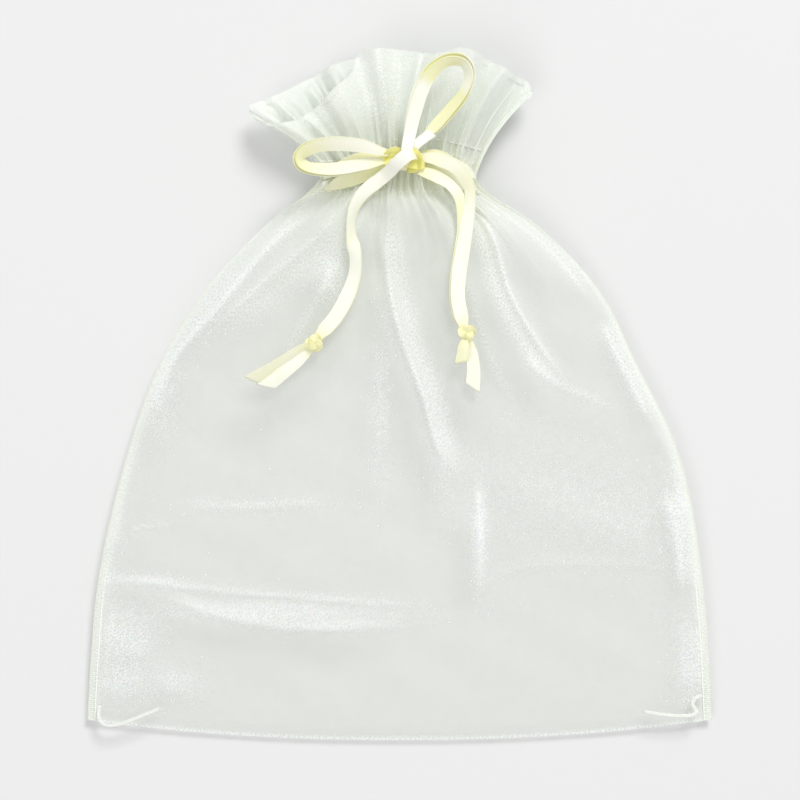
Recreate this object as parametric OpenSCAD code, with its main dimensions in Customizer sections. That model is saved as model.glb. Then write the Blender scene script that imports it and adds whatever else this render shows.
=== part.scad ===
// Drawstring gift pouch of organza with a satin ribbon bow, lying on its back.
// Frame: +X right, +Y from the bottom fold to the frill, +Z up out of the table. Millimetres.

/* [Pouch] */
// Width across the two side seams at the bottom
pouch_w = 129; // [100:1:170]
// Length from the bottom fold to the lower stitch row of the casing
body_len = 112; // [90:1:150]
// How far the bottom corners stand back from the middle of the fold
corner_back = 5.5; // [2:0.5:9]
// Thickness of one layer of cloth
cloth_t = 0.8; // [0.6:0.1:1.2]
// Extra height of the hollow inside the body
puff_h = 7.5; // [6:0.5:12]
// How far the side edges stand off the table
edge_lift = 2.5; // [1:0.5:5]

/* [Neck] */
// Width of the gathered neck
neck_w = 32; // [26:1:44]
// Clear height of the throat inside the neck
throat_h = 6.5; // [6:0.5:10]
// Depth of the casing between its two stitch rows
casing_h = 7; // [7:0.5:10]
// How far the neck stands off the table
neck_lift = 1.5; // [0.5:0.5:4]
// Depth of the gathers at the neck
neck_pleat = 0.8; // [0.4:0.1:1.2]

/* [Frill] */
// Length of the frill above the casing
frill_len = 24; // [18:1:34]
// Angle that each end of the frill fans out from the neck
fan_angle = 42; // [25:1:50]
// How much shorter the frill is at its two ends
frill_end_drop = 4; // [2:0.5:7]
// Depth of the folds at the top of the frill
frill_pleat = 1.8; // [1:0.2:3]
// How far the front of the frill dips towards its left end
front_dip = 7; // [0:0.5:10]
// Extra clear height of the mouth at the top of the frill
mouth_flare = 2; // [0:0.5:5]

/* [Ribbon] */
// Width of the ribbon
ribbon_w = 3; // [2:0.1:3.2]
// Thickness of the ribbon
ribbon_t = 0.5; // [0.4:0.05:0.6]
// Radius of each rounded corner of the bow knot
knot_r = 2.4; // [2:0.1:2.6]
// Radius of the overhand knots at the ribbon ends
end_knot_r = 1.7; // [1.4:0.1:1.9]

/* [Thread] */
// Width of the overlocked side seams
seam_d = 1.6; // [1.2:0.1:2]
// Thickness of the thread chains left at the bottom corners
chain_d = 0.8; // [0.6:0.1:1]
// Thickness of the stitches that close the casing
stitch_t = 0.3; // [0.2:0.05:0.4]

/* [Hidden] */

FRONT = 1;
BACK = -1;
LEFT = -1;
RIGHT = 1;

// Clearances between the layers of the casing, and between the two walls at their edges.
layer_gap = 0.15;
edge_gap = 0.3;
fold_gap = 0.6;

// The stack of layers in the casing, measured outwards from the throat.
lining_t = 0.6;
run_at = lining_t + layer_gap;
outer_at = run_at + ribbon_t + layer_gap;
body_at = layer_gap;
casing_stack = outer_at + cloth_t;

// Places along the length. s runs 0 to 1 up the body, 1 to 2 over the casing and 2 to 3 up the frill.
fold_r = (fold_gap + edge_gap) / 2 + body_at + cloth_t;
total_len = fold_r + body_len + casing_h + frill_len;
bottom_y = fold_r - total_len / 2;
casing_y = bottom_y + body_len;
frill_y = casing_y + casing_h;
casing_mid_y = casing_y + casing_h / 2;
body_hw = pouch_w / 2 - seam_d - edge_gap;
neck_hw = neck_w / 2;

// Shape of the outline and of the hollow.
taper_power = 2.75;
corner_power = 2.2;
puff_power = 0.8;
flat_share = 0.45;
lap_start = 0.85;
neck_rise_start = 0.7;
pleat_power = 4;
pleat_start = 0.4;
dip_at = -0.68;
dip_spread = 0.22;
pleats_across = 3.5;
fold_turn = 160;
front_start = 0.006;
u_steps = 42;
body_steps = 16;
fold_steps = 4;
frill_steps = 5;
seam_steps = 32;
seam_top = 0.97;
frill_gap_share = 0.01;

// The two rows of stitches and the two ribbons, as places along the casing.
stitch_gap = 0.05;
stitch_reach = 0.96;
lower_row = 1.07;
upper_row = 1.93;
run_reach = 0.97;
left_lane = 1.27;
right_lane = 1.73;

// Centres of the knots from the bow's seat, and how far their corners stand from the centre.
knot_at = [1, 4.8, 4];
knot_spread = [1.5, 0.6, 0];
left_knot_at = [-17.4, -33.2, 2.3];
right_knot_at = [13.6, -31.2, 2.4];
end_knot_spread = [0.3, 0.2, 0];

function smooth(t) = let (c = min(max(t, 0), 1)) c * c * (3 - 2 * c);
function arch(u) = 1 - pow(u, 4);
function edge(u) = pow(max(0, (abs(u) - flat_share) / (1 - flat_share)), 2);
function bottom(u) = bottom_y + corner_back * pow(abs(u), corner_power);
function half_width(s) = body_hw + (neck_hw - body_hw) * pow(s, taper_power);
function frill_reach(u, side) =
    frill_len - frill_end_drop * u * u
    - (side == FRONT ? front_dip * exp(-pow((u - dip_at) / dip_spread, 2)) : 0);

// Clear height between the two walls at the middle of the pouch.
function clear_height(s) =
    s <= 1 ? fold_gap + (throat_h - fold_gap) * s + puff_h * pow(sin(180 * s), puff_power)
    : throat_h + mouth_flare * max(0, s - 2);

// Height of the back wall's underside above the table.
function lift(u, s) =
    neck_lift * smooth((s - neck_rise_start) / (1 - neck_rise_start))
    + edge_lift * edge(u) * (s <= 1 ? 0.4 + 0.6 * sin(180 * s) : 0.4 + 0.6 * max(0, s - 2));

// The gathers, the same in every layer so that the layers stay apart.
function pleat_depth(s) =
    s <= 1 ? neck_pleat * pow(max(0, s - pleat_start) / (1 - pleat_start), pleat_power)
    : neck_pleat + (frill_pleat - neck_pleat) * max(0, s - 2);
function pleat(u, s) = pleat_depth(s) * (0.5 - 0.5 * cos(360 * pleats_across * u));

// Offset of the outer cloth from the throat: it opens out to pass over the casing.
function outer_offset(s) = body_at + (outer_at - body_at) * smooth((s - lap_start) / (1 - lap_start));

function back_z(u, s) = lift(u, s) + outer_offset(s) + cloth_t;
function front_z(u, s) = back_z(u, s) + clear_height(s) * arch(u) + edge_gap;

function plan(u, s, side = BACK) =
    s <= 1 ? [u * half_width(s), bottom(u) + (casing_y - bottom(u)) * s]
    : s <= 2 ? [u * neck_hw, casing_y + casing_h * (s - 1)]
    : [u * neck_hw + (s - 2) * frill_reach(u, side) * sin(fan_angle * u),
       frill_y + (s - 2) * frill_reach(u, side) * cos(fan_angle * u)];

// A point of a wall, o outwards from the throat's surface. Below s = 0 the back wall turns up round the fold.
function wall_point(side, u, s, o) =
    s < 0
    ? let (turn = -s * 180, r = (fold_gap + edge_gap) / 2 + o, mid = back_z(u, 0) + (fold_gap + edge_gap) / 2)
      [u * half_width(0), bottom(u) - r * sin(turn), mid - r * cos(turn)]
    : let (at = plan(u, s, side))
      [at.x, at.y, pleat(u, s) + (side == FRONT ? front_z(u, s) + o : back_z(u, s) - o)];

function steps(from, to, count) = [for (i = [0:count]) from + (to - from) * i / count];

// A sheet with the rails [s, offset] of its two faces, swept across u.
module sheet(side, rail_a, rail_b, u_from = -1, u_to = 1, count = u_steps) {
    n = len(rail_a);
    points = [
        for (u = steps(u_from, u_to, count))
            for (rail = [rail_a, rail_b])
                for (p = rail)
                    wall_point(side, u, p[0], p[1])
    ];
    row = 2 * n;
    a_face = [for (j = [0:count - 1], i = [0:n - 2]) let (k = j * row + i)
        each [[k, k + 1, k + row + 1], [k, k + row + 1, k + row]]];
    b_face = [for (j = [0:count - 1], i = [0:n - 2]) let (k = j * row + n + i)
        each [[k, k + row + 1, k + 1], [k, k + row, k + row + 1]]];
    first = [for (j = [0:count - 1]) let (a = j * row, b = a + n)
        each [[a, a + row, b + row], [a, b + row, b]]];
    last = [for (j = [0:count - 1]) let (a = j * row + n - 1, b = a + n)
        each [[a, b + row, a + row], [a, b, b + row]]];
    cap_low = [for (i = [0:n - 2]) let (a = i, b = a + n)
        each [[a, b + 1, a + 1], [a, b, b + 1]]];
    cap_high = [for (i = [0:n - 2]) let (a = count * row + i, b = a + n)
        each [[a, a + 1, b + 1], [a, b + 1, b]]];
    faces = concat(a_face, b_face, first, last, cap_low, cap_high);
    turned = side == BACK ? [for (f = faces) [f[2], f[1], f[0]]] : faces;
    polyhedron(points = points, faces = turned);
}

// A plain strip of wall between two places along it, from offset near to offset far.
module strip(side, s_from, s_to, near, far, u_from, u_to) {
    sheet(side, [[s_from, far], [s_to, far]], [[s_from, near], [s_to, near]], u_from, u_to);
}

// Body wall and outer layer of the casing. The back one also turns up round the bottom fold.
module panel(side) {
    wrap = side == BACK ? steps(-fold_turn / 180, -0.2, fold_steps) : [];
    body = steps(side == BACK ? 0 : front_start, 1, body_steps);
    along = concat(wrap, body, [1.5, 2]);
    far = [for (s = along) [s, outer_offset(s) + cloth_t]];
    near = [for (s = along) [s, outer_offset(s)]];
    sheet(side, far, near);
}

// Doubled frill: up the outside, over the top and down inside as the lining of the casing.
module frill(side) {
    up = steps(2 + frill_gap_share, 3, frill_steps);
    down = concat(steps(3, 2, frill_steps), [1.5, 1]);
    inset = 3 - cloth_t / frill_len;
    outside = concat([for (s = up) [s, casing_stack]], [for (s = down) [s, 0]]);
    inside = concat([for (s = up) [min(s, inset), outer_at]], [for (s = down) [min(s, inset), lining_t]]);
    sheet(side, outside, inside);
}

// One row of stitches across the outside of the casing.
module stitch_row(side, s_at) {
    half = stitch_t / casing_h;
    strip(side, s_at - half, s_at + half, casing_stack + stitch_gap, casing_stack + stitch_gap + stitch_t,
        -stitch_reach, stitch_reach);
}

// A ribbon's run inside the casing, from one side of the neck to the other.
module ribbon_run(side, s_at) {
    half = ribbon_w / 2 / casing_h;
    strip(side, s_at - half, s_at + half, run_at, run_at + ribbon_t, -run_reach, run_reach);
}

function unit(v) = v / norm(v);
function place(p) = [p[0], p[1], p[2]];
function flat_section(w, t) = [
    [w / 2, t / 4], [w / 2 - t / 4, t / 2], [t / 4 - w / 2, t / 2], [-w / 2, t / 4],
    [-w / 2, -t / 4], [t / 4 - w / 2, -t / 2], [w / 2 - t / 4, -t / 2], [w / 2, -t / 4]
];
function round_section(d) = [for (i = [0:7]) [d / 2 * cos(45 * i), d / 2 * sin(45 * i)]];

// Smooth curve through the points of a route, with "between" new points in each gap.
function blend(a, b, c, d, t) =
    (2 * b + (c - a) * t + (2 * a - 5 * b + 4 * c - d) * t * t + (3 * b - a - 3 * c + d) * t * t * t) / 2;
function curve(route, between) =
    let (last = len(route) - 1)
    concat([for (i = [0:last - 1], j = [0:between])
        blend(route[max(i - 1, 0)], route[i], route[i + 1], route[min(i + 2, last)], j / (between + 1))
    ], [route[last]]);

// A section swept along [x, y, z, roll] points. At roll 0 the section's width lies level.
module swept(route, section) {
    n = len(section);
    last = len(route) - 1;
    points = [for (i = [0:last])
        let (
            ahead = unit(place(route[min(i + 1, last)]) - place(route[max(i - 1, 0)])),
            level = unit(cross(ahead, [0, 0, 1])),
            rise = cross(level, ahead),
            roll = route[i][3],
            across = level * cos(roll) + rise * sin(roll),
            through = cross(across, ahead)
        )
        for (q = section) place(route[i]) + across * q[0] + through * q[1]
    ];
    sides = [for (i = [0:last - 1], j = [0:n - 1])
        let (a = i * n + j, b = i * n + (j + 1) % n)
        each [[a, b, b + n], [a, b + n, a + n]]];
    caps = [[for (j = [n - 1:-1:0]) j], [for (j = [0:n - 1]) last * n + j]];
    polyhedron(points = points, faces = concat(sides, caps));
}

module ribbon(route, between = 1) {
    placed = [for (p = route) p + concat(bow_seat, [0])];
    swept(curve(placed, between), flat_section(ribbon_w, ribbon_t));
}

module knot(at, spread, r) {
    translate(bow_seat + at)
        hull() {
            for (x = [-1, 1])
                for (y = [-1, 1])
                    translate([x * spread.x, y * spread.y, 0]) sphere(r = r, $fn = 32);
        }
}

// Overlocked edge from the bottom corner up to the casing, held off square to the outline.
module side_seam(side) {
    along = steps(0, seam_top, seam_steps);
    route = [for (s = along)
        let (
            at = plan(side, s),
            ahead = unit(plan(side, s + 1 / seam_steps) - plan(side, max(0, s - 1 / seam_steps))),
            out = side * (seam_d / 2 + edge_gap)
        )
        [at.x + out * ahead.y, at.y - out * ahead.x, (back_z(1, s) + front_z(1, s)) / 2, 0]];
    swept(route, round_section(seam_d));
}

// Chain of thread left at a bottom corner. Its route starts from the corner.
module thread_tail(side, route) {
    corner = concat(plan(side, 0), [front_z(1, 0), 0]);
    swept(curve([for (p = route) corner + p], 2), round_section(chain_d));
}

// Where the bow sits: the middle of the casing, on whichever is higher, the neck or the body's crown.
crown_s = 0.62;
neck_top = front_z(0, 1.5) + casing_stack + neck_pleat;
crown_top = front_z(0, crown_s) + outer_offset(crown_s) + cloth_t;
bow_seat = [0, casing_mid_y, max(neck_top, crown_top)];
side_x = neck_hw + 0.9;
side_z = (back_z(1, 1.5) + front_z(1, 1.5)) / 2 - bow_seat.z;

// Routes of the ribbon's free strands: [x, y, z] from the bow's seat, then the roll in degrees.
// The strands from the side gaps follow the neck's width.
left_exit_top = [
    [-side_x - 0.6, 1.8, side_z + 1.4, 75], [-side_x + 0.2, 2.2, -4.4, 50], [-0.8 * side_x, 3, -1.4, 20],
    [-0.62 * side_x, 3.8, 0, 5], [-0.414 * side_x, 4.8, 1.3, 0], [-2.4, 5.6, 1.4, 0]
];
left_exit_under = [
    [-side_x - 0.6, -1.8, side_z + 1.4, 75], [-side_x + 0.2, -1.4, -4.4, 50], [-0.8 * side_x, -0.6, -1.4, 20],
    [-0.62 * side_x, 0.2, -0.3, 5], [-0.414 * side_x, 1.4, 0.6, 0], [-2.4, 2.6, 0.7, 0]
];
right_exit_top = [
    [side_x + 0.6, 1.8, side_z + 1.4, -75], [side_x - 0.2, 2.2, -4.4, -50], [0.8 * side_x, 3, -1.4, -20],
    [0.62 * side_x, 3.9, 0, -5], [0.473 * side_x, 4.9, 1.3, 0], [4.4, 5.6, 1.4, 0]
];
right_exit_under = [
    [side_x + 0.6, -1.8, side_z + 1.4, -75], [side_x - 0.2, -1.4, -4.4, -50], [0.8 * side_x, -0.6, -1.4, -20],
    [0.62 * side_x, 0.2, -0.3, -5], [0.473 * side_x, 1.4, 0.6, 0], [4.4, 2.6, 0.7, 0]
];
left_loop_outer = [
    [-3.4, 5.6, 5.2, 5], [-8, 7, 5.8, 20], [-14, 7.6, 6, 35], [-19, 6.6, 5.6, 40], [-21, 4.4, 5.2, 40],
    [-19.2, 2.2, 4.8, 40], [-14, 1.6, 4.2, 35], [-8, 2.6, 3.8, 20], [-3.6, 3.8, 3.4, 5]
];
left_loop_inner = [
    [-3.4, 5.6, 6, 5], [-8, 6.6, 6.6, 20], [-14, 7, 6.8, 35], [-18.6, 6, 6.4, 40], [-20.2, 4.4, 6, 40],
    [-18.8, 2.8, 5.6, 40], [-14, 2.2, 5, 35], [-8, 3, 4.6, 20], [-3.6, 3.8, 4.2, 5]
];
right_loop_outer = [
    [2, 8.6, 5, -5], [2.4, 13, 5.8, -10], [3.6, 18, 6.6, -20], [6, 22.4, 7.2, -30], [9.6, 25, 7.6, -35],
    [13, 25, 7.4, -40], [14.6, 21.6, 6.8, -40], [13, 17.4, 6, -40], [9.6, 13.4, 5, -30], [6, 9.6, 4.2, -10]
];
right_loop_inner = [
    [2, 8.6, 5.8, -5], [2.8, 13, 6.6, -10], [4.2, 17.6, 7.4, -20], [6.4, 21.6, 8, -30],
    [9.6, 24.2, 8.4, -35], [12.6, 24.2, 8.2, -40], [14, 21.4, 7.6, -40], [12.4, 17.6, 6.8, -40],
    [9.2, 13.8, 5.8, -30], [6, 9.6, 5, -10]
];
left_tail_top = [
    [-2.6, 1.2, 2.6, 0], [-5, 0, 2.2, 5], [-8, -2.5, 2, 10], [-9.5, -5.5, 1.9, 5], [-10, -10, 1.8, 0],
    [-9.2, -15, 1.8, 0], [-9.2, -19, 1.8, 0], [-10.5, -23, 1.8, 0], [-13, -27.5, 1.8, 0], [-16, -31.2, 2, 0]
];
left_tail_under = [
    [-2.2, 0.8, 1.8, 0], [-4.6, -0.4, 1.4, 5], [-7.4, -2.9, 1.2, 10], [-9, -5.9, 1.1, 5], [-9.5, -10.2, 1, 0],
    [-8.7, -15.2, 1, 0], [-8.7, -19.2, 1, 0], [-10, -23.3, 1, 0], [-12.5, -27.8, 1, 0], [-15.6, -31.6, 1.1, 0]
];
right_tail_top = [
    [5.8, 4.6, 3.2, 0], [8, 4, 3, -5], [11, 2.6, 2.8, -10], [13.5, 0.3, 2.6, -5], [14.4, -3, 2.2, 0],
    [13.6, -9, 1.8, 0], [12.8, -14, 1.8, 0], [12, -19, 1.8, 0], [11.8, -24, 1.8, 0], [12.8, -28.9, 2, 0]
];
right_tail_under = [
    [5, 1.8, 2.3, 0], [7.5, 0.8, 2.1, -5], [10.6, -1.2, 1.8, -10], [12.4, -4, 1.4, -5], [12.7, -9.2, 1, 0],
    [12.1, -14.2, 1, 0], [11.4, -19.2, 1, 0], [11.3, -24.2, 1, 0], [12.3, -28.8, 1.1, 0]
];
left_wide_end = [
    [-18.8, -35.2, 1.6, 10], [-21.4, -37.4, 1.4, 12], [-24.4, -39.8, 1.2, 14], [-27.6, -42.2, 0.8, 16]
];
left_narrow_end = [
    [-19.8, -33.2, 3.1, 75], [-23, -35.2, 2.8, 72], [-27, -37.6, 2.2, 68], [-31.4, -40, 2, 66]
];
right_long_end = [
    [14.4, -33.4, 2, -8], [14.8, -36.2, 1.8, -8], [15, -39, 1.5, -8], [14.8, -42.2, 1.2, -8]
];
right_short_end = [
    [12.8, -33.4, 2.8, -8], [12.6, -35, 2.8, -8], [12.4, -36.8, 2.7, -8]
];
left_chain = [[1.2, -1.8, 1.6, 0], [3, -2.4, 2, 0], [6, -1.6, 2.2, 0], [9, -0.4, 2.4, 0], [12.4, 1, 2.6, 0]];
right_chain = [
    [-0.6, 3.4, 2, 0], [-1.8, 3, 2.4, 0], [-2.4, 1.6, 2.6, 0], [-1.6, 0.2, 2.6, 0], [-3, -0.6, 2.6, 0],
    [-7, -0.6, 2.6, 0], [-12.4, 0.2, 2.8, 0]
];

module back_panel() { color("ghostwhite") panel(BACK); }
module front_panel() { color("ghostwhite") panel(FRONT); }
module back_frill() { color("whitesmoke") frill(BACK); }
module front_frill() { color("whitesmoke") frill(FRONT); }
module left_side_seam() { color("white") side_seam(LEFT); }
module right_side_seam() { color("white") side_seam(RIGHT); }
module left_thread_tail() { color("white") thread_tail(LEFT, left_chain); }
module right_thread_tail() { color("white") thread_tail(RIGHT, right_chain); }
module back_lower_stitches() { color("white") stitch_row(BACK, lower_row); }
module back_upper_stitches() { color("white") stitch_row(BACK, upper_row); }
module front_lower_stitches() { color("white") stitch_row(FRONT, lower_row); }
module front_upper_stitches() { color("white") stitch_row(FRONT, upper_row); }
module left_ribbon_back_run() { color("ivory") ribbon_run(BACK, left_lane); }
module right_ribbon_back_run() { color("ivory") ribbon_run(BACK, right_lane); }
module left_ribbon_front_run() { color("ivory") ribbon_run(FRONT, left_lane); }
module right_ribbon_front_run() { color("ivory") ribbon_run(FRONT, right_lane); }
module left_exit_top_strand() { color("ivory") ribbon(left_exit_top); }
module left_exit_under_strand() { color("ivory") ribbon(left_exit_under); }
module right_exit_top_strand() { color("ivory") ribbon(right_exit_top); }
module right_exit_under_strand() { color("ivory") ribbon(right_exit_under); }
module bow_knot() { color("ivory") knot(knot_at, knot_spread, knot_r); }
module left_loop_outer_strand() { color("ivory") ribbon(left_loop_outer, 2); }
module left_loop_inner_strand() { color("ivory") ribbon(left_loop_inner, 2); }
module right_loop_outer_strand() { color("ivory") ribbon(right_loop_outer, 2); }
module right_loop_inner_strand() { color("ivory") ribbon(right_loop_inner, 2); }
module left_tail_top_strand() { color("ivory") ribbon(left_tail_top); }
module left_tail_under_strand() { color("ivory") ribbon(left_tail_under); }
module right_tail_top_strand() { color("ivory") ribbon(right_tail_top); }
module right_tail_under_strand() { color("ivory") ribbon(right_tail_under); }
module left_end_knot() { color("ivory") knot(left_knot_at, end_knot_spread, end_knot_r); }
module right_end_knot() { color("ivory") knot(right_knot_at, end_knot_spread, end_knot_r); }
module left_wide_cut_end() { color("ivory") ribbon(left_wide_end); }
module left_narrow_cut_end() { color("ivory") ribbon(left_narrow_end); }
module right_long_cut_end() { color("ivory") ribbon(right_long_end); }
module right_short_cut_end() { color("ivory") ribbon(right_short_end); }

back_panel();
front_panel();
back_frill();
front_frill();
left_side_seam();
right_side_seam();
left_thread_tail();
right_thread_tail();
back_lower_stitches();
back_upper_stitches();
front_lower_stitches();
front_upper_stitches();
left_ribbon_back_run();
right_ribbon_back_run();
left_ribbon_front_run();
right_ribbon_front_run();
left_exit_top_strand();
left_exit_under_strand();
right_exit_top_strand();
right_exit_under_strand();
bow_knot();
left_loop_outer_strand();
left_loop_inner_strand();
right_loop_outer_strand();
right_loop_inner_strand();
left_tail_top_strand();
left_tail_under_strand();
right_tail_top_strand();
right_tail_under_strand();
left_end_knot();
left_wide_cut_end();
left_narrow_cut_end();
right_end_knot();
right_long_cut_end();
right_short_cut_end();
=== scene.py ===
import math
import bpy
import numpy as np
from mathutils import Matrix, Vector


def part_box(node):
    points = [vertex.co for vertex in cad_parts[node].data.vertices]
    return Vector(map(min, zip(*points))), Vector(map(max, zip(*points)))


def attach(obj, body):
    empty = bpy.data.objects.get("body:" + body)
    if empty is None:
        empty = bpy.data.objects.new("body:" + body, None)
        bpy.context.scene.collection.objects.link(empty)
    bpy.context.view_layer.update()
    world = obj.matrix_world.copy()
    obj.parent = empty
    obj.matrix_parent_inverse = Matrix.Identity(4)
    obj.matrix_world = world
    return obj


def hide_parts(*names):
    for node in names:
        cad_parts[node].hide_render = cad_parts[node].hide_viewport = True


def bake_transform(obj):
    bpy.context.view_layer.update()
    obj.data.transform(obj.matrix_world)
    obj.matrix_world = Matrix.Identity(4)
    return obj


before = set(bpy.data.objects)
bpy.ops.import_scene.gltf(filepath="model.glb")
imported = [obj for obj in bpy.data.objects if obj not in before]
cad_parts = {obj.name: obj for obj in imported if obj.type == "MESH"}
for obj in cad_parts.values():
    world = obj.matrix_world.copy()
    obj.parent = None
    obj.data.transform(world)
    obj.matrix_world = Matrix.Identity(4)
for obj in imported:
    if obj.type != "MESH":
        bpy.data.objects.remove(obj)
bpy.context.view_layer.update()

# A tied organza gift pouch, lying on its back on a pale table with its bow uppermost.
# Everything is in metres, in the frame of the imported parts: +Y towards the frill, +Z up.


# -------------------- camera
# The camera stands high over the table and looks straight down on the pouch,
# with the frill at the top of its view.
VIEW_WIDTH = 0.164
VIEW_CENTRE = (0.0, -0.001)
LEVEL_OF_CLOTH = 0.008
CAMERA_HEIGHT = 0.9
SENSOR = 36.0

camera_data = bpy.data.cameras.new("camera")
camera_data.sensor_width = SENSOR
camera_data.lens = SENSOR * (CAMERA_HEIGHT - LEVEL_OF_CLOTH) / VIEW_WIDTH
camera_data.clip_start = 0.01
camera = bpy.data.objects.new("camera", camera_data)
camera.location = (VIEW_CENTRE[0], VIEW_CENTRE[1], CAMERA_HEIGHT)
bpy.context.scene.collection.objects.link(camera)
bpy.context.scene.camera = camera
bpy.context.scene.view_settings.view_transform = "Standard"

# Light crosses many sheer layers in the gathers, which come out dark if it is stopped sooner.
light_paths = bpy.context.scene.cycles
light_paths.transparent_max_bounces = 40
light_paths.diffuse_bounces = 10
light_paths.transmission_bounces = 12
light_paths.max_bounces = 16


# -------------------- ribbon tails
# Each drawstring is one length of 3 mm ivory satin ribbon with woven edges. Its two ends run side by
# side, so that both tails of the bow are two strands thick, and they hang loose from the knot.
RIBBON_WIDTH = 0.003
RIBBON_THICKNESS = 0.0002
RIBBON_CROWN = 0.00010
RIBBON_BEAD = 0.00002
BEAD_FROM = 0.85
SLANT_FROM = 0.7
ACROSS = 11
RING_STEP = 0.00045
BOW_SEAT = np.array([0.0, 0.0436, 0.01353])

LEFT_TAIL_TOP = [
    (-0.0016, 0.0019, 0.0033, 0), (-0.0029, 0.001, 0.0026, 0), (-0.005, -0.0004, 0.0022, 8),
    (-0.0076, -0.0026, 0.002, 18), (-0.0093, -0.0052, 0.0019, 38), (-0.01, -0.0082, 0.0019, 52),
    (-0.0099, -0.0115, 0.0019, 40), (-0.0091, -0.015, 0.0019, -30), (-0.0092, -0.019, 0.0019, -30),
    (-0.0105, -0.023, 0.0018, -12), (-0.013, -0.0275, 0.0018, 0), (-0.016, -0.031, 0.002, 0),
    (-0.0169, -0.0322, 0.0021, 0),
]
LEFT_TAIL_UNDER = [(x + 0.00012, y - 0.0001, z - 0.00036, roll) for x, y, z, roll in LEFT_TAIL_TOP]
RIGHT_TAIL_TOP = [
    (0.004, 0.0047, 0.0034, 0), (0.0058, 0.0046, 0.0032, 0), (0.008, 0.0042, 0.003, -8),
    (0.011, 0.0029, 0.0028, -16), (0.0134, 0.0005, 0.0026, -28), (0.0143, -0.003, 0.0022, -30),
    (0.0136, -0.009, 0.0019, -12), (0.0128, -0.014, 0.0018, 0), (0.012, -0.019, 0.0018, 8),
    (0.0118, -0.024, 0.0018, 5), (0.0128, -0.0289, 0.002, 0), (0.0132, -0.0302, 0.0021, 0),
]
RIGHT_TAIL_UNDER = [
    (0.0036, 0.0022, 0.0024, 0), (0.005, 0.0017, 0.0023, 10), (0.0075, 0.0008, 0.0021, 25),
    (0.0104, -0.0011, 0.0018, 35), (0.0123, -0.004, 0.0016, 20), (0.01295, -0.0091, 0.00145, -12),
    (0.0124, -0.0142, 0.00135, 0), (0.0117, -0.0192, 0.00135, 8), (0.01155, -0.0242, 0.00135, 5),
    (0.0126, -0.029, 0.0015, 0), (0.013, -0.0302, 0.0016, 0),
]


def smooth_route(route, step=RING_STEP):
    """Points a step apart on a smooth curve through the route; each is x, y, z and roll."""
    given = np.array(route, float)
    ends = np.vstack([2 * given[0] - given[1], given, 2 * given[-1] - given[-2]])
    points = []
    for i in range(1, len(ends) - 2):
        a, b, c, d = ends[i - 1:i + 3]
        count = max(2, int(np.linalg.norm((c - b)[:3]) / step))
        t = np.arange(count)[:, None] / count
        points.append((2 * b + (c - a) * t + (2 * a - 5 * b + 4 * c - d) * t ** 2
                       + (3 * b - a - 3 * c + d) * t ** 3) / 2)
    return np.vstack(points + [given[-1:]])


def directions(points):
    """Unit vectors ahead, across and through at each point of a route with rolls."""
    ahead = np.gradient(points[:, :3], axis=0)
    ahead /= np.linalg.norm(ahead, axis=1)[:, None]
    level = np.cross(ahead, [0, 0, 1])
    level /= np.maximum(np.linalg.norm(level, axis=1), 1e-9)[:, None]
    rise = np.cross(level, ahead)
    roll = np.radians(points[:, 3])[:, None]
    across = level * np.cos(roll) + rise * np.sin(roll)
    return ahead, across, np.cross(across, ahead)


def new_mesh(name, vertices, faces):
    """A smooth-shaded mesh object in the scene."""
    mesh = bpy.data.meshes.new(name)
    mesh.from_pydata([tuple(v) for v in vertices], [], faces)
    mesh.validate()
    mesh.update()
    mesh.shade_smooth()
    piece = bpy.data.objects.new(name, mesh)
    bpy.context.scene.collection.objects.link(piece)
    return piece


def give_uv(piece, name, places):
    """A UV map that gives each vertex its place on the cloth or along the ribbon."""
    layer = piece.data.uv_layers.new(name=name)
    corners = np.empty(len(piece.data.loops), np.int32)
    piece.data.loops.foreach_get("vertex_index", corners)
    layer.data.foreach_set("uv", np.asarray(places, np.float32)[corners].ravel())


def give_values(piece, name, values):
    """A float attribute with one value for each vertex."""
    attribute = piece.data.attributes.new(name, "FLOAT", "POINT")
    attribute.data.foreach_set("value", np.asarray(values, np.float32).ravel())


def travelled(points):
    """How far along a line of points each one lies."""
    steps = np.linalg.norm(np.diff(points[:, :3], axis=0), axis=1)
    return np.concatenate([[0], np.cumsum(steps)])


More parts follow.
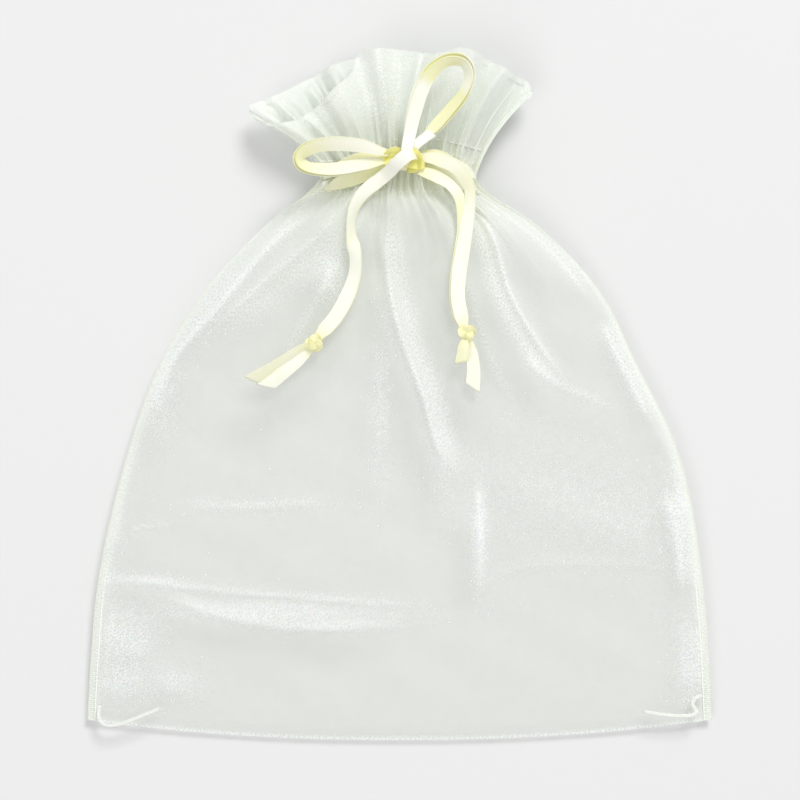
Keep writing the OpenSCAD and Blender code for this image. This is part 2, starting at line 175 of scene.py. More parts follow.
def ribbon_piece(name, points, width=RIBBON_WIDTH, thickness=RIBBON_THICKNESS, slant=0.0, narrowed=(),
                 painted_shades=((0, 0), (1, 0))):
    """A flat ribbon along points with rolls: slightly crowned, with a raised woven bead at each edge.
    slant is how far the cut at its far end leans. narrowed lists (share along, width share), and
    the last lists (share along, how much painted shade in a deeper ivory the satin has there)."""
    ahead, across, through = directions(points)
    q = np.linspace(-1, 1, ACROSS)
    bead = RIBBON_BEAD * (np.abs(q) > BEAD_FROM)
    top = thickness / 2 + RIBBON_CROWN * (1 - q ** 2) + bead
    low = top - thickness - bead
    section = np.vstack([np.column_stack([q, top]), np.column_stack([q[::-1], low[::-1]])])
    share = np.linspace(0, 1, len(points))
    wide = np.interp(share, *zip(*narrowed)) if narrowed else np.ones(len(points))
    lean = np.clip((share - SLANT_FROM) / (1 - SLANT_FROM), 0, 1) * slant
    rings = (points[:, None, :3]
             + across[:, None, :] * (section[None, :, 0, None] * wide[:, None, None] * width / 2)
             + through[:, None, :] * section[None, :, 1, None]
             + ahead[:, None, :] * (section[None, :, 0, None] * lean[:, None, None]))
    n = len(section)
    faces = [(i * n + j, i * n + (j + 1) % n, (i + 1) * n + (j + 1) % n, (i + 1) * n + j)
             for i in range(len(points) - 1) for j in range(n)]
    last = (len(points) - 1) * n
    for j in range(ACROSS - 1):
        faces.append((j + 1, j, n - 1 - j, n - 2 - j))
        faces.append((last + j, last + j + 1, last + n - 2 - j, last + n - 1 - j))
    piece = new_mesh(name, rings.reshape(-1, 3), faces)
    for line in piece.data.edges:
        one, other = (v % n for v in line.vertices)
        line.use_edge_sharp = one == other and one in (0, ACROSS - 1, ACROSS, n - 1)
    give_uv(piece, "ribbon", np.column_stack([
        np.repeat(travelled(points) / width, n), np.tile(section[:, 0] / 2 + 0.5, len(points))]))
    # The tone attribute carries painted shade: a deeper yellow where the strand turns from the light.
    give_values(piece, "tone", np.repeat(np.interp(share, *zip(*painted_shades)), n))
    return piece


def empty_material(name):
    """A material whose node tree has nothing in it yet, and that tree."""
    material = bpy.data.materials.new(name)
    material.use_nodes = True
    material.node_tree.nodes.clear()
    return material, material.node_tree


def add_node(tree, kind, inputs=(), **settings):
    """The outputs of a new shader node, whose inputs are given values or other nodes' outputs."""
    node = tree.nodes.new("ShaderNode" + kind)
    for setting, value in settings.items():
        setattr(node, setting, value)
    for place, value in dict(inputs).items():
        if isinstance(value, bpy.types.NodeSocket):
            tree.links.new(value, node.inputs[place])
        else:
            node.inputs[place].default_value = value
    return node.outputs


def maths(tree, operation, *values, limit=False):
    """The result of a sum on values and outputs; limit keeps it between 0 and 1."""
    return add_node(tree, "Math", enumerate(values), operation=operation, use_clamp=limit)[0]


def noise(tree, place, scale, detail, roughness=0.5):
    """Soft random patches, from 0 to 1."""
    return add_node(tree, "TexNoise", {"Vector": place, "Scale": scale, "Detail": detail,
                                       "Roughness": roughness})["Fac"]


def mixed_colour(tree, share, a, b):
    return add_node(tree, "Mix", {"Factor": share, "A": a, "B": b}, data_type="RGBA")["Result"]


def mixed_shader(tree, share, a, b):
    return add_node(tree, "MixShader", {0: share, 1: a, 2: b})[0]


def satin(name, light, deep):
    """Ivory satin: fine lengthwise floats, ribbed woven edges, yellow where light comes through, and the
    deep colour painted on as shade where the tone attribute asks.
    """
    material, tree = empty_material(name)
    uv = add_node(tree, "UVMap", uv_map="ribbon")["UV"]
    lengthwise = add_node(tree, "Mapping", {"Vector": uv, "Scale": (1.6, 26, 1)})["Vector"]
    floats = noise(tree, lengthwise, scale=3.0, detail=4)
    sideways = add_node(tree, "SeparateXYZ", {"Vector": uv})["Y"]
    from_middle = maths(tree, "ABSOLUTE", maths(tree, "SUBTRACT", sideways, 0.5))
    edge = add_node(tree, "MapRange", {"Value": from_middle, "From Min": 0.38, "From Max": 0.46})["Result"]
    ribs = add_node(tree, "TexWave", {"Vector": uv, "Scale": 2.2, "Distortion": 0.6})["Fac"]
    height = maths(tree, "MULTIPLY_ADD", floats, 0.35, maths(tree, "MULTIPLY", ribs, edge))
    bump = add_node(tree, "Bump", {"Height": height, "Strength": 0.35, "Distance": 0.00012})["Normal"]
    clouds = noise(tree, uv, scale=0.45, detail=2)
    cloudy = add_node(tree, "MapRange", {"Value": clouds, "From Min": 0.35, "From Max": 0.75,
                                         "To Max": 0.2})["Result"]
    deepened = maths(tree, "MULTIPLY_ADD", edge, 0.05, cloudy)
    # Painted shade: the tone attribute mixes in the deep colour where a strand turns from the light.
    tone = add_node(tree, "Attribute", attribute_name="tone")["Fac"]
    colour = mixed_colour(tree, maths(tree, "ADD", deepened, tone, limit=True), (*light, 1), (*deep, 1))
    face = add_node(tree, "BsdfPrincipled", {
        "Base Color": colour, "Normal": bump, "Roughness": 0.42, "Specular IOR Level": 0.45,
        "Sheen Weight": 0.25, "Sheen Roughness": 0.4})[0]
    glow = add_node(tree, "BsdfTranslucent", {"Color": (*deep, 1)})[0]
    add_node(tree, "OutputMaterial", {"Surface": mixed_shader(tree, 0.10, face, glow)})
    return material


# The satin's ivory, and a deep yellow that tints its woven edges and the light through it and is painted on
# as its shade.
IVORY_LIGHT = (1.00, 1.00, 0.94)
IVORY_DEEP_AND_SHADE = (0.93, 0.92, 0.52)
ribbon_satin = satin("ivory_satin_ribbon", IVORY_LIGHT, IVORY_DEEP_AND_SHADE)


def placed(route):
    """A route from the bow's seat, as smooth points in the frame."""
    points = smooth_route(route)
    points[:, :3] += BOW_SEAT
    return points


def finish_ribbon(piece, body, *nodes):
    """Gives a ribbon its satin, hides the nodes it stands for, and gives it a body to ride if one is named.
    """
    piece.data.materials.append(ribbon_satin)
    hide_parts(*nodes)
    if body:
        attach(piece, body)


TAIL_WIDTHS = ((0, 0.55), (0.1, 0.95), (0.3, 0.8), (0.5, 0.9), (0.7, 1), (0.93, 0.95), (1, 0.5))
# How much painted yellow shade each tail strand has along its length.
TAIL_PAINTED_SHADES = {
    ("left", "top"): ((0, 0.0), (0.3, 0.1), (0.42, 0.3), (0.52, 0.05), (0.9, 0.1), (1, 0.6)),
    ("left", "under"): ((0, 0.6), (1, 0.6)),
    ("right", "top"): ((0, 0.5), (0.15, 0.2), (0.3, 0.4), (0.42, 0.05), (0.9, 0.05), (1, 0.6)),
    ("right", "under"): ((0, 0.8), (0.2, 0.1), (0.34, 0.7), (1, 0.5)),
}
tail_strands = []
for side, strand, route in (("left", "top", LEFT_TAIL_TOP), ("left", "under", LEFT_TAIL_UNDER),
                            ("right", "top", RIGHT_TAIL_TOP), ("right", "under", RIGHT_TAIL_UNDER)):
    points = placed(route)
    piece = ribbon_piece(f"{side}_tail_{strand}", points, narrowed=TAIL_WIDTHS,
                         painted_shades=TAIL_PAINTED_SHADES[side, strand])
    finish_ribbon(piece, None, f"{side}_tail_{strand}_strand")
    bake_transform(piece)
    tail_strands.append((side, piece, points))


# -------------------- end knots and cut ends
# The two ends of each drawstring are tied together in a small overhand knot, so that they can't slip
# back into the casing, and are cut off with scissors beyond it.
LEFT_WIDE_END = [
    (-0.0176, -0.0336, 0.002, 10), (-0.0188, -0.035, 0.0016, 10), (-0.0214, -0.0372, 0.0014, 12),
    (-0.0244, -0.0396, 0.0012, 14), (-0.0274, -0.0419, 0.0008, 16),
]
LEFT_NARROW_END = [
    (-0.0174, -0.033, 0.0024, 40), (-0.0198, -0.0339, 0.0023, 40), (-0.023, -0.0361, 0.0021, 38),
    (-0.0266, -0.0384, 0.0018, 38), (-0.0304, -0.0405, 0.0016, 40),
]
RIGHT_LONG_END = [
    (0.0138, -0.0316, 0.0022, -8), (0.0143, -0.0334, 0.0021, -8), (0.0148, -0.0362, 0.0018, -8),
    (0.015, -0.039, 0.0015, -8), (0.0148, -0.0422, 0.0012, -8),
]
RIGHT_SHORT_END = [
    (0.0133, -0.0318, 0.0024, -8), (0.013, -0.0334, 0.0028, -20), (0.0128, -0.035, 0.0028, -30),
    (0.0125, -0.037, 0.0027, -30),
]
KNOT_RIBBON = 0.0016
KNOT_THICKNESS = 0.0005
KNOT_TURNS = 3
KNOT_SHARE = (0.86, 0.86, 0.7)
KNOT_INSET = 0.32 * KNOT_RIBBON
KNOT_POINTS = 150
KNOT_ROLL = 35
BOW_LOWERED = np.array([0.0, -0.0009, 0.0])


def overhand_knot(name, node, turn):
    """A ribbon pulled up tight along the three-lobed path of an overhand knot."""
    low, high = (np.array(corner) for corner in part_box(node))
    middle = (low + high) / 2 + BOW_LOWERED
    half = (high - low) / 2 * KNOT_SHARE - KNOT_INSET
    t = np.linspace(0, 2 * math.pi, KNOT_POINTS)
    lobes = np.column_stack([np.sin(t) + 2 * np.sin(2 * t), np.cos(t) - 2 * np.cos(2 * t),
                             -np.sin(KNOT_TURNS * t)]) / (3, 3, 1)
    c, s = math.cos(turn), math.sin(turn)
    lobes[:, :2] = lobes[:, :2] @ np.array([[c, s], [-s, c]])
    route = np.column_stack([middle + lobes * half, KNOT_ROLL * np.sin(2 * t)])
    return ribbon_piece(name, route, width=KNOT_RIBBON, thickness=KNOT_THICKNESS)


# A yellower copy of the satin, painted as shade, for the end knots and the most shaded knot pieces.
shaded_knot_satin = satin("ivory_satin_painted_shade", (0.97, 0.95, 0.58), (0.94, 0.90, 0.30))
CUT_END_WIDTHS = ((0, 0.3), (0.35, 0.8), (1, 1))
# Each cut end: its name, its route, how far its cut slants, and how much painted yellow shade it has.
ends = {
    "left": (("wide", LEFT_WIDE_END, 0.0012, 0.05), ("narrow", LEFT_NARROW_END, 0.0008, 0.35)),
    "right": (("long", RIGHT_LONG_END, -0.0009, 0.1), ("short", RIGHT_SHORT_END, 0.0006, 0.6)),
}
for side, turn in (("left", 0.7), ("right", 2.1)):
    knot = overhand_knot(f"{side}_overhand_knot", f"{side}_end_knot", turn)
    knot.data.materials.append(shaded_knot_satin)
    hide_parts(f"{side}_end_knot")
    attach(knot, f"{side}_tail_end")
    for word, route, slant, yellow in ends[side]:
        cut = ribbon_piece(f"{side}_{word}_end", placed(route), slant=slant,
                           narrowed=CUT_END_WIDTHS, painted_shades=((0, 0.9), (0.3, yellow), (1, yellow)))
        finish_ribbon(cut, f"{side}_tail_end", f"{side}_{word}_cut_end")
    strands = [(piece, points) for of_side, piece, points in tail_strands if of_side == side]


# -------------------- bow loops
# The two loops of the bow are the same doubled ribbon, turned back into the knot. Each strand lies on
# its edge a little, so the loop opens upwards like a shallow bowl.
LEFT_LOOP_OUTER = [
    (-0.0022, 0.0054, 0.0046, 0), (-0.004, 0.0059, 0.0052, 8), (-0.008, 0.007, 0.0058, 22),
    (-0.014, 0.0074, 0.006, 34), (-0.0186, 0.0065, 0.0056, 42), (-0.0207, 0.0044, 0.0052, 50),
    (-0.0192, 0.0024, 0.0048, 45), (-0.014, 0.0019, 0.0042, 30), (-0.008, 0.0029, 0.0038, 15),
    (-0.004, 0.0038, 0.0035, 5), (-0.0022, 0.0042, 0.0034, 0),
]
LEFT_LOOP_INNER = [
    (-0.0022, 0.0053, 0.005, 0), (-0.004, 0.0058, 0.0056, 8), (-0.008, 0.0068, 0.00625, 22),
    (-0.014, 0.0071, 0.0065, 34), (-0.0183, 0.0062, 0.0061, 42), (-0.0202, 0.0044, 0.0057, 50),
    (-0.0189, 0.0027, 0.0053, 45), (-0.014, 0.0022, 0.0047, 30), (-0.008, 0.0031, 0.00425, 15),
    (-0.004, 0.0039, 0.00395, 5), (-0.0022, 0.0043, 0.0038, 0),
]
RIGHT_LOOP_OUTER = [
    (0.001, 0.0048, 0.0055, 0), (0.0014, 0.00665, 0.0055, 0), (0.0019, 0.00918, 0.0053, -5),
    (0.0025, 0.01289, 0.0058, -10), (0.0038, 0.01776, 0.0066, -20), (0.0062, 0.02205, 0.0072, -34),
    (0.0096, 0.0244, 0.0076, -46), (0.0129, 0.0242, 0.0074, -52), (0.0144, 0.02127, 0.0068, -52),
    (0.013, 0.01718, 0.006, -48), (0.0098, 0.01328, 0.005, -32), (0.0064, 0.00977, 0.0042, -10),
    (0.0042, 0.00743, 0.0038, 0),
]
RIGHT_LOOP_INNER = [
    (0.0011, 0.0048, 0.006, 0), (0.0015, 0.00665, 0.006, 0), (0.002, 0.00918, 0.00575, -5),
    (0.0028, 0.01289, 0.0063, -10), (0.0042, 0.01747, 0.0071, -20), (0.0065, 0.02147, 0.00775, -34),
    (0.0096, 0.02371, 0.00815, -46), (0.0126, 0.02352, 0.00795, -52), (0.0139, 0.02108, 0.00735, -52),
    (0.0126, 0.01738, 0.0065, -48), (0.0095, 0.01357, 0.0055, -32), (0.0062, 0.00996, 0.0047, -10),
    (0.0041, 0.00762, 0.0042, 0),
]
LOOP_WIDTHS = {
    "left": ((0, 0.4), (0.14, 0.9), (0.3, 1), (0.75, 0.95), (0.88, 0.8), (1, 0.4)),
    "right": ((0, 0.7), (0.12, 0.85), (0.25, 1), (0.5, 0.85), (0.75, 0.9), (0.88, 0.8), (1, 0.4)),
}
# How much painted yellow shade each loop has along it, where its faces turn from the light.
LOOP_PAINTED_SHADES = {
    "left": ((0, 0.5), (0.1, 0.12), (0.3, 0.15), (0.4, 0.55), (0.5, 0.8), (0.6, 0.4), (0.85, 0.3), (1, 0.7)),
    "right": ((0, 0.0), (0.32, 0.0), (0.37, 0.8), (0.52, 0.7), (0.57, 0.1), (0.66, 0.15), (0.7, 0.8),
              (0.92, 0.7), (1, 0.3)),
}
for side, strand, route in (("left", "outer", LEFT_LOOP_OUTER), ("left", "inner", LEFT_LOOP_INNER),
                            ("right", "outer", RIGHT_LOOP_OUTER), ("right", "inner", RIGHT_LOOP_INNER)):
    points = placed(route)
    piece = ribbon_piece(f"{side}_loop_{strand}", points, narrowed=LOOP_WIDTHS[side],
                         painted_shades=LOOP_PAINTED_SHADES[side])
    finish_ribbon(piece, None, f"{side}_loop_{strand}_strand")
    root = (points[0, :3] + points[-1, :3]) / 2
    out = points[len(points) // 2, :3] - root
    out[2] = 0
    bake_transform(piece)


# -------------------- bow knot
# The knot is the doubled ribbon wrapped once round itself and pulled tight: a band over the top, a
# bundle from side to side under it, and the left tail coming out over the front.
WRAP = [
    (0.0014, 0.0066, 0.0046, 0), (0.001, 0.0048, 0.0052, 8), (0.0004, 0.003, 0.0042, 6),
    (0.0002, 0.0022, 0.0026, 0),
]
LEFT_TURN = [
    (0.0004, 0.0054, 0.0044, 0), (-0.001, 0.006, 0.0058, 30), (-0.0022, 0.0056, 0.0056, 50),
    (-0.003, 0.0048, 0.0044, 60), (-0.0026, 0.0041, 0.003, 40), (-0.001, 0.0036, 0.0023, 10),
]
RIGHT_TURN = [
    (0.0018, 0.0054, 0.0044, 0), (0.003, 0.0056, 0.0056, -30), (0.004, 0.0046, 0.0052, -55),
    (0.004, 0.0034, 0.0042, -60), (0.0032, 0.0024, 0.003, -30), (0.0016, 0.0022, 0.0022, 0),
]
UNDER_BUNDLE = [
    (-0.0034, 0.0044, 0.0036, 10), (-0.0014, 0.0044, 0.0042, 20), (0.001, 0.004, 0.004, 10),
    (0.0034, 0.0036, 0.0036, 0), (0.005, 0.0036, 0.0032, -5),
]
TAIL_OVER = [
    (0.003, 0.0056, 0.0052, 0), (0.0014, 0.0049, 0.0071, 4), (-0.0006, 0.0033, 0.0062, 6),
    (-0.002, 0.0019, 0.0043, 4), (-0.0032, 0.0009, 0.003, 4), (-0.0044, 0, 0.0024, 6),
    (-0.0054, -0.0008, 0.002, 8),
]
FLAP = [
    (0.0022, 0.0058, 0.0048, 0), (0.0034, 0.0072, 0.0056, 20), (0.0052, 0.0086, 0.0054, 25),
    (0.0066, 0.0096, 0.0049, 20),
]
# Knot pieces with more painted shade than this take the shaded copy of the satin.
SHADED_SATIN_FROM = 0.75
# Each piece of the knot: its name, its route, its share of the ribbon's width, and how much painted
# yellow shade it has.
for name, route, wide, yellow in (
        ("knot_wrap", WRAP, 0.8, 0.7), ("knot_left_turn", LEFT_TURN, 0.5, 0.8),
        ("knot_right_turn", RIGHT_TURN, 0.5, 1.0), ("knot_under_bundle", UNDER_BUNDLE, 0.9, 0.9),
        ("knot_tail_over", TAIL_OVER, 0.92, 0.0), ("knot_flap", FLAP, 0.7, 0.0)):
    piece = ribbon_piece(name, placed(route), width=RIBBON_WIDTH * wide, painted_shades=((0, yellow), (1, yellow)))
    finish_ribbon(piece, "front_wall", "bow_knot")
    if yellow > SHADED_SATIN_FROM:
        piece.data.materials[0] = shaded_knot_satin


# -------------------- strands from the side gaps
# At each side seam the drawstring leaves the casing through a gap, and its two strands run round the
# front of the gathers to the underside of the knot.
FROM_RIGHT_GAP = {
    "top": [(0.0154, 0.0012, -0.0052, -75), (0.0149, 0.0016, -0.0036, -50), (0.0132, 0.0024, -0.0013, -20),
            (0.0105, 0.0034, 0, -5)],
    "under": [(0.0154, -0.0012, -0.0052, -75), (0.0149, -0.001, -0.0036, -50),
              (0.0132, -0.0006, -0.0013, -20), (0.0105, 0.0002, -0.0002, -5)],
}
UNDER_KNOT = {
    "left": {"top": [(-0.007, 0.0046, 0.0013, 0), (-0.0018, 0.0052, 0.0015, 0)],
             "under": [(-0.007, 0.0014, 0.0007, 0), (-0.0018, 0.0028, 0.0009, 0)]},
    "right": {"top": [(0.008, 0.0047, 0.0013, 0), (0.0038, 0.0052, 0.0015, 0)],
              "under": [(0.008, 0.0014, 0.0007, 0), (0.0038, 0.0028, 0.0009, 0)]},
}
EXIT_WIDTHS = ((0, 0.5), (0.15, 0.75), (0.5, 1), (0.8, 1), (1, 0.6))
# How much painted yellow shade the strands from the gaps have along them.
EXIT_PAINTED_SHADES = {"left": ((0, 0.4), (0.4, 0.6), (1, 0.7)), "right": ((0, 0.2), (0.5, 0.3), (1, 0.6))}


def bend_with_mouth(piece):
    """Bakes the piece's placement into its mesh; nothing holds it to the pouch or the front wall."""
    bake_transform(piece)


for side, hand in (("left", -1), ("right", 1)):
    for strand in ("top", "under"):
        route = [(hand * x, y, z, hand * roll) for x, y, z, roll in FROM_RIGHT_GAP[strand]]
        piece = ribbon_piece(f"{side}_exit_{strand}", placed(route + UNDER_KNOT[side][strand]),
                             narrowed=EXIT_WIDTHS, painted_shades=EXIT_PAINTED_SHADES[side])
        finish_ribbon(piece, None, f"{side}_exit_{strand}_strand")
        bend_with_mouth(piece)


# -------------------- organza cloth
# One length of sheer white organza, woven from fine shiny filament, folded at the bottom. The top is
# turned over and down inside, so the frill and the casing are double, and all of it is gathered in.
# A place on the cloth is u, from -1 at the left seam to 1 at the right one, and s: 0 at the bottom fold,
# 1 and 2 at the casing's lower and upper edge, and 3 at the rim of the frill.
CLOTH_WIDTH = 0.129
BOTTOM_SEAM_Y = -0.0670
BOTTOM_ARC = 0.0042
CASING_LOW = 0.0412
CASING_HIGH = 0.0482
GATHER_LINE = 1.5
FOLD_GAP = 0.0006
THROAT = 0.0065
PUFF = 0.0075
SAG_SHARE = 0.12
FRILL_OPENS = 0.002
EDGE_LIFT = 0.0025
FRILL_LOWERED = 0.0009
NECK_LIFT = 0.0015
BODY_STACK = 0.00095
STACK = 0.0022
OUTER_OUT = 0.0018
LINING_OUT = 0.0003
INNER_OUT = 0.0003
CASING_TIGHTNESS = 0.45
BACK_LIFTED = 0.0020
# The outline seen from above: (y, x) up each side, and (u, x, y) along the two rims.
LEFT_SIDE = [
    (-0.0675, -0.0645), (-0.0523, -0.0636), (-0.0369, -0.062), (-0.0164, -0.0574), (0.0051, -0.0502),
    (0.0205, -0.041), (0.03, -0.0326), (0.0365, -0.0258), (0.0412, -0.0194), (0.0447, -0.0162),
    (0.047, -0.016),
]
RIGHT_SIDE = [
    (-0.0675, 0.0643), (-0.0461, 0.0631), (-0.0246, 0.0605), (-0.0092, 0.0564), (0.0072, 0.0484),
    (0.0185, 0.043), (0.0277, 0.0359), (0.0359, 0.0268), (0.0412, 0.0184), (0.0447, 0.0156),
    (0.047, 0.0154),
]
FRONT_TOP = [
    (-1, -0.0314, 0.0599), (-0.9, -0.029, 0.0572), (-0.75, -0.0235, 0.0566), (-0.6, -0.0185, 0.0586),
    (-0.45, -0.014, 0.0628), (-0.33, -0.0098, 0.0668), (-0.25, -0.0086, 0.0702), (-0.1, -0.0035, 0.0716),
    (0.05, 0.0029, 0.071), (0.15, 0.0052, 0.0702), (0.3, 0.009, 0.071), (0.45, 0.0135, 0.0716),
    (0.65, 0.019, 0.069), (0.8, 0.023, 0.0668), (0.92, 0.026, 0.0654), (1, 0.0275, 0.0632),
]
BACK_TOP = [
    (-1, -0.031, 0.0604), (-0.8, -0.0245, 0.063), (-0.6, -0.0185, 0.0663), (-0.4, -0.0125, 0.0692),
    (-0.2, -0.006, 0.071), (0, 0, 0.0716), (0.2, 0.006, 0.0712), (0.4, 0.012, 0.0706),
    (0.6, 0.018, 0.0692), (0.8, 0.0235, 0.0664), (1, 0.0273, 0.0628),
]


def smooth_curve(points, at):
    """The value at a place on a smooth curve through (place, value) points."""
    line = np.array([(*p, 0.0, 0.0) if len(p) == 2 else (*p, 0.0) for p in points], float)
    span = line[-1, 0] - line[0, 0]
    fine = smooth_route(line, abs(span) / 400)
    return [np.interp(at, fine[:, 0], fine[:, k]) for k in range(1, len(points[0]))]


def smooth(t):
    """0 below t = 0, rising smoothly to 1 at t = 1."""
    t = np.clip(t, 0, 1)
    return t * t * (3 - 2 * t)


def bell(distance, width):
    return np.exp(-(distance / width) ** 2)


def at_casing(s):
    """0 on the body, rising to 1 where the casing begins."""
    return smooth((s - 0.85) / 0.15)


def at_rim(s):
    """0 on most of the frill, rising to 1 at its rim."""
    return smooth((s - 2.7) / 0.3)


def beyond_casing(y):
    """How far below or above the casing a point lies."""
    return np.maximum(0, np.maximum(CASING_LOW - y, y - CASING_HIGH))


def clear_height(u, s):
    """The room between the walls: none at the seams, and most in the middle of the body."""
    body = np.clip(s, 0, 1)
    bulge = np.sin(math.pi * body)
    inside = FOLD_GAP + (THROAT - FOLD_GAP) * body + PUFF * bulge ** 0.8
    inside = inside * (1 - SAG_SHARE * bulge * (s < 1))
    frill = THROAT + FRILL_OPENS * np.clip(s - 2, 0, 1)
    return np.where(s <= 1, inside, frill) * (1 - u ** 4)


def middle_level(u, s):
    """How high the two walls meet: higher at the neck, where the layers stack up, and near the seams."""
    near_seam = np.maximum(0, (np.abs(u) - 0.45) / 0.55) ** 2
    loose = np.where(s <= 1, np.sin(math.pi * np.clip(s, 0, 1)), np.clip(s - 2, 0, 1))
    stack = BODY_STACK + (STACK - BODY_STACK) * at_casing(s)
    return NECK_LIFT * smooth((s - 0.7) / 0.3) + EDGE_LIFT * near_seam * (0.4 + 0.6 * loose) + stack


def parting(u, s):
    """0 where the walls are held together, at the bottom fold and the seams, and 1 elsewhere."""
    return (1 - np.abs(u) ** 10) * smooth(s / 0.03)


def wall_level(side, u, s, pleats, out):
    """How high a layer of one wall lies, if it is out from the innermost one and pleated."""
    level = middle_level(u, s) + pleats * parting(u, s)
    if side == "front":
        return level + clear_height(u, s) + (INNER_OUT + out) * parting(u, s)
    return level - out * parting(u, s) + BACK_LIFTED * smooth((s - 0.8) / 0.2)


def plan(u, s, top):
    """Where a point of the cloth lies, seen from above: u across from seam to seam, s up the pouch."""
    low = np.minimum(s, GATHER_LINE)
    seam_y = np.where(low <= 1, BOTTOM_SEAM_Y + (CASING_LOW - BOTTOM_SEAM_Y) * low,
                      CASING_LOW + (CASING_HIGH - CASING_LOW) * (low - 1))
    left, = smooth_curve(LEFT_SIDE, seam_y)
    right, = smooth_curve(RIGHT_SIDE, seam_y)
    x = (left + right) / 2 + u * (right - left) / 2
    y = seam_y - BOTTOM_ARC * (1 - np.abs(u) ** 2.2) * (1 - np.clip(low, 0, 1)) ** 1.3
    top_x, top_y = smooth_curve(top, u)
    top_y = top_y - FRILL_LOWERED
    f = np.clip((s - GATHER_LINE) / (3 - GATHER_LINE), 0, 1)
    bend_x, bend_y = x + 0.2 * (top_x - x), y + 0.5 * (top_y - y)
    x, y = ((1 - f) ** 2 * x + 2 * f * (1 - f) * bend_x + f * f * top_x,
            (1 - f) ** 2 * y + 2 * f * (1 - f) * bend_y + f * f * top_y)
    return x, y


def gathers(u, y, tightness=1.0, reach=0.008):
    """Pleats that run out of the casing both ways: the fine ones die out first."""
    away = beyond_casing(y)
    above = y > CASING_HIGH
    uneven = u + 0.035 * np.sin(6.1 * u + 0.8) + 0.018 * np.sin(15.3 * u + 2.1)

    def wave(height, waves, start):
        return height * np.cos(2 * math.pi * (waves * uneven + start))

    def dying_out(reach_below, reach_above):
        return np.exp(-away / np.where(above, reach_above, reach_below))

    fine = wave(0.00085, waves=12.3, start=0.1) * dying_out(0.006, reach) * (1 + 0.3 * np.sin(9.7 * u + 1))
    middle = wave(0.0008, waves=5.3, start=0.37) * dying_out(0.013, 0.03)
    broad = wave(0.0008, waves=2.6, start=0.16) * dying_out(0.036, 0.06)
    fanned = np.where(above, wave(0.0018, waves=3.3, start=0.5) * smooth(away / 0.02), 0)
    return (fine + middle) * tightness + broad + fanned


def near_line(x, y, line):
    """For each point: how far it is from a line of points, how far along the line its nearest place
    is, and whether it lies right (+1) or left (-1) of someone walking along the line."""
    points = smooth_route([(*p, 0.0, 0.0) for p in line], 0.002)[:, :2]
    best, where, hand = np.full(x.shape, np.inf), np.zeros(x.shape), np.zeros(x.shape)
    for i in range(len(points) - 1):
        a, d = points[i], points[i + 1] - points[i]
        t = np.clip(((x - a[0]) * d[0] + (y - a[1]) * d[1]) / (d @ d), 0, 1)
        gap = np.hypot(x - a[0] - t * d[0], y - a[1] - t * d[1])
        nearer = gap < best
        best, where = np.where(nearer, gap, best), np.where(nearer, (i + t) / (len(points) - 1), where)
        hand = np.where(nearer, np.sign((x - a[0]) * d[1] - (y - a[1]) * d[0]), hand)
    return best, where, hand


